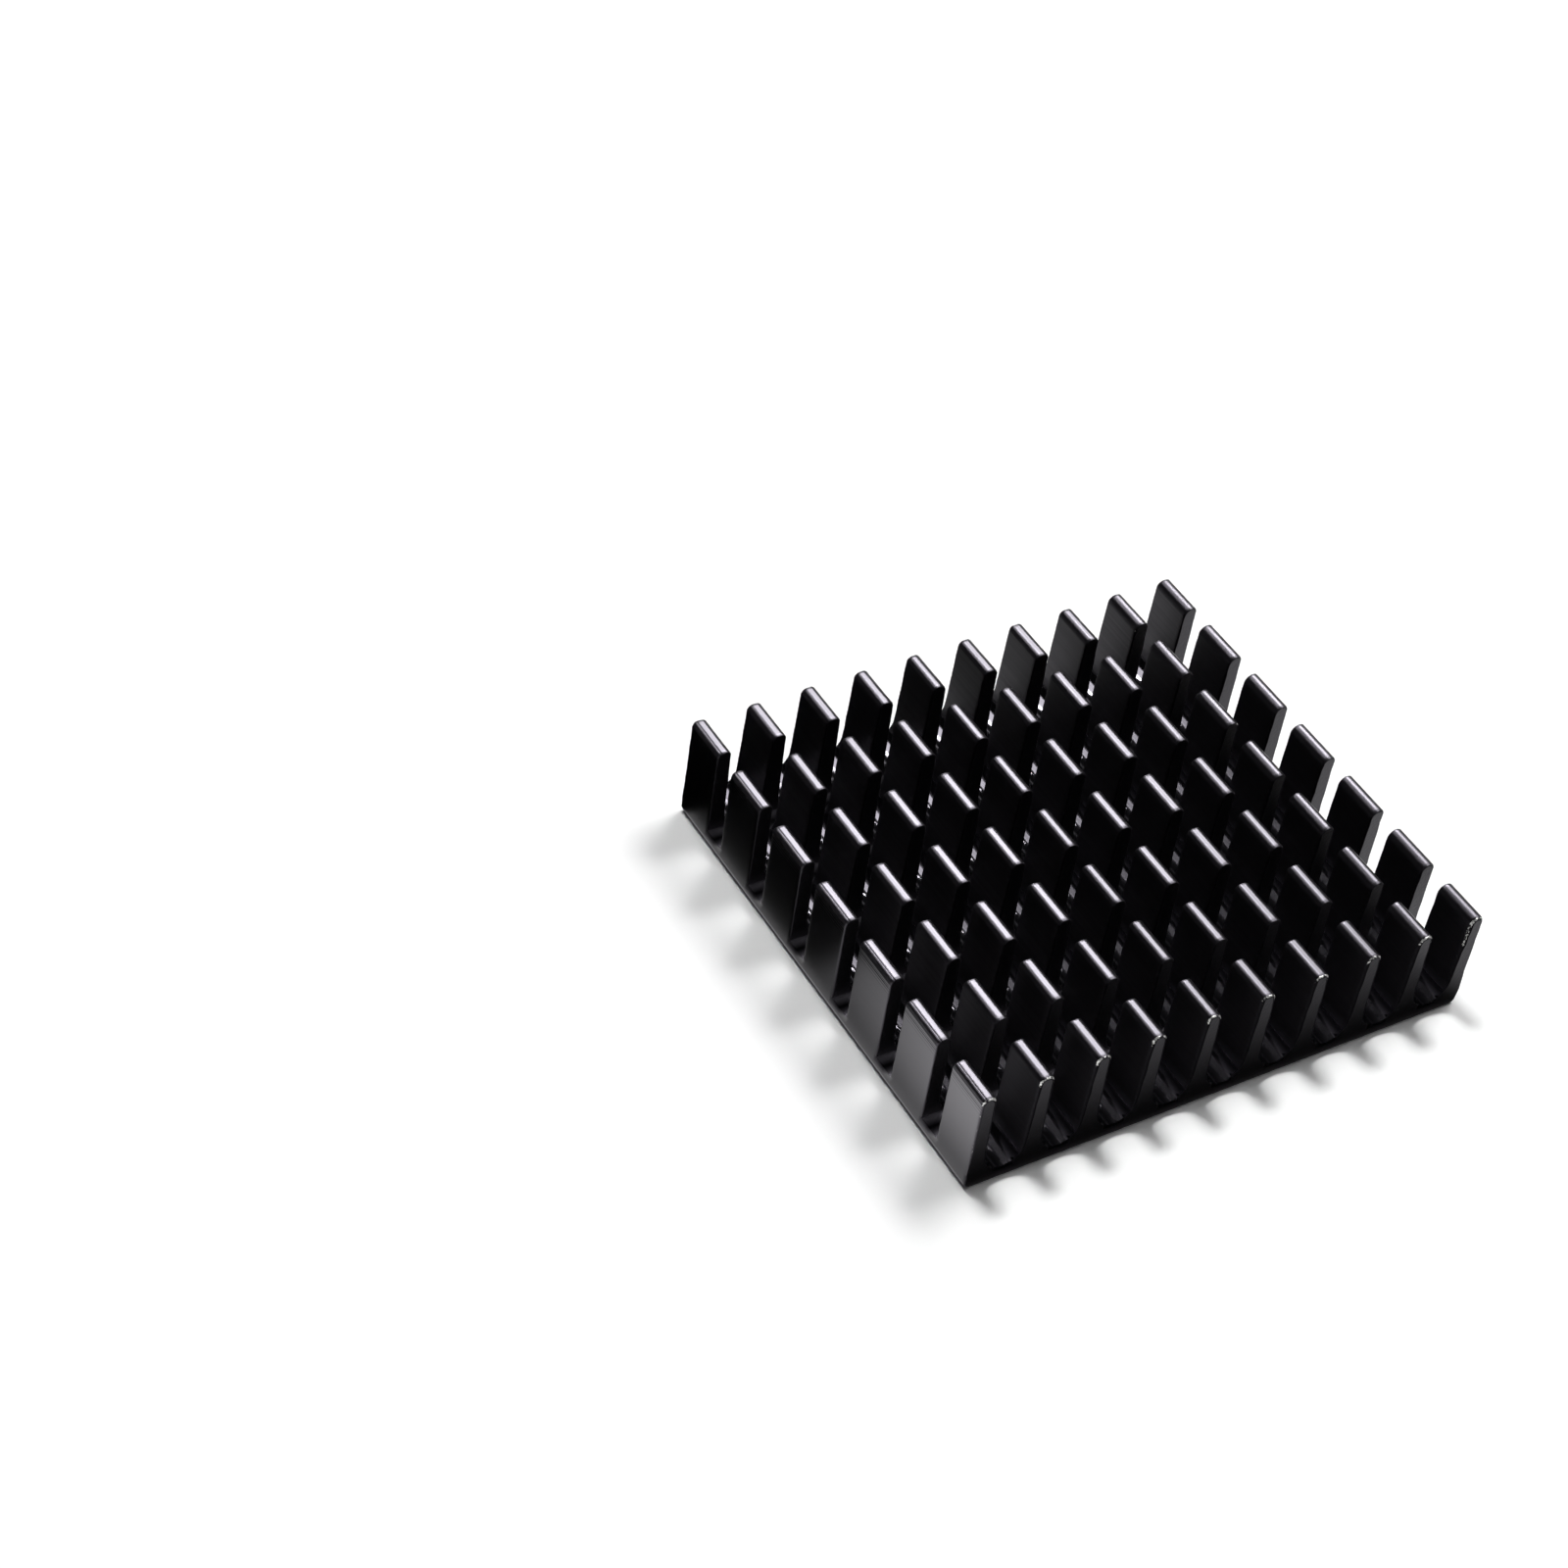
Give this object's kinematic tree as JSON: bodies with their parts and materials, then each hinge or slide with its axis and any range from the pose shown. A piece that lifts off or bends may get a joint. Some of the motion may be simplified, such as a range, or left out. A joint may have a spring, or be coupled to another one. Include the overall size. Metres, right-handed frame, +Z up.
{
  "type": "heat sink",
  "caption": "Square black anodised aluminium heat sink: a flat base with rows of short tapered fin posts, cross-cut from one extrusion, that cool a chip or module fixed under it.",
  "frame": {"origin": "middle of the flat bottom face", "axes": "+X across the fins, +Y along the fins, +Z up from the bottom face to the fin tips"},
  "size_m": [0.04, 0.0376, 0.0084],
  "materials": {
    "black_anodised_aluminium": "satin black anodised, extruded flanks and saw-cut ends"
  },
  "bodies": {
    "root": {"heat_sink": "black_anodised_aluminium"}
  },
  "joints": []
}
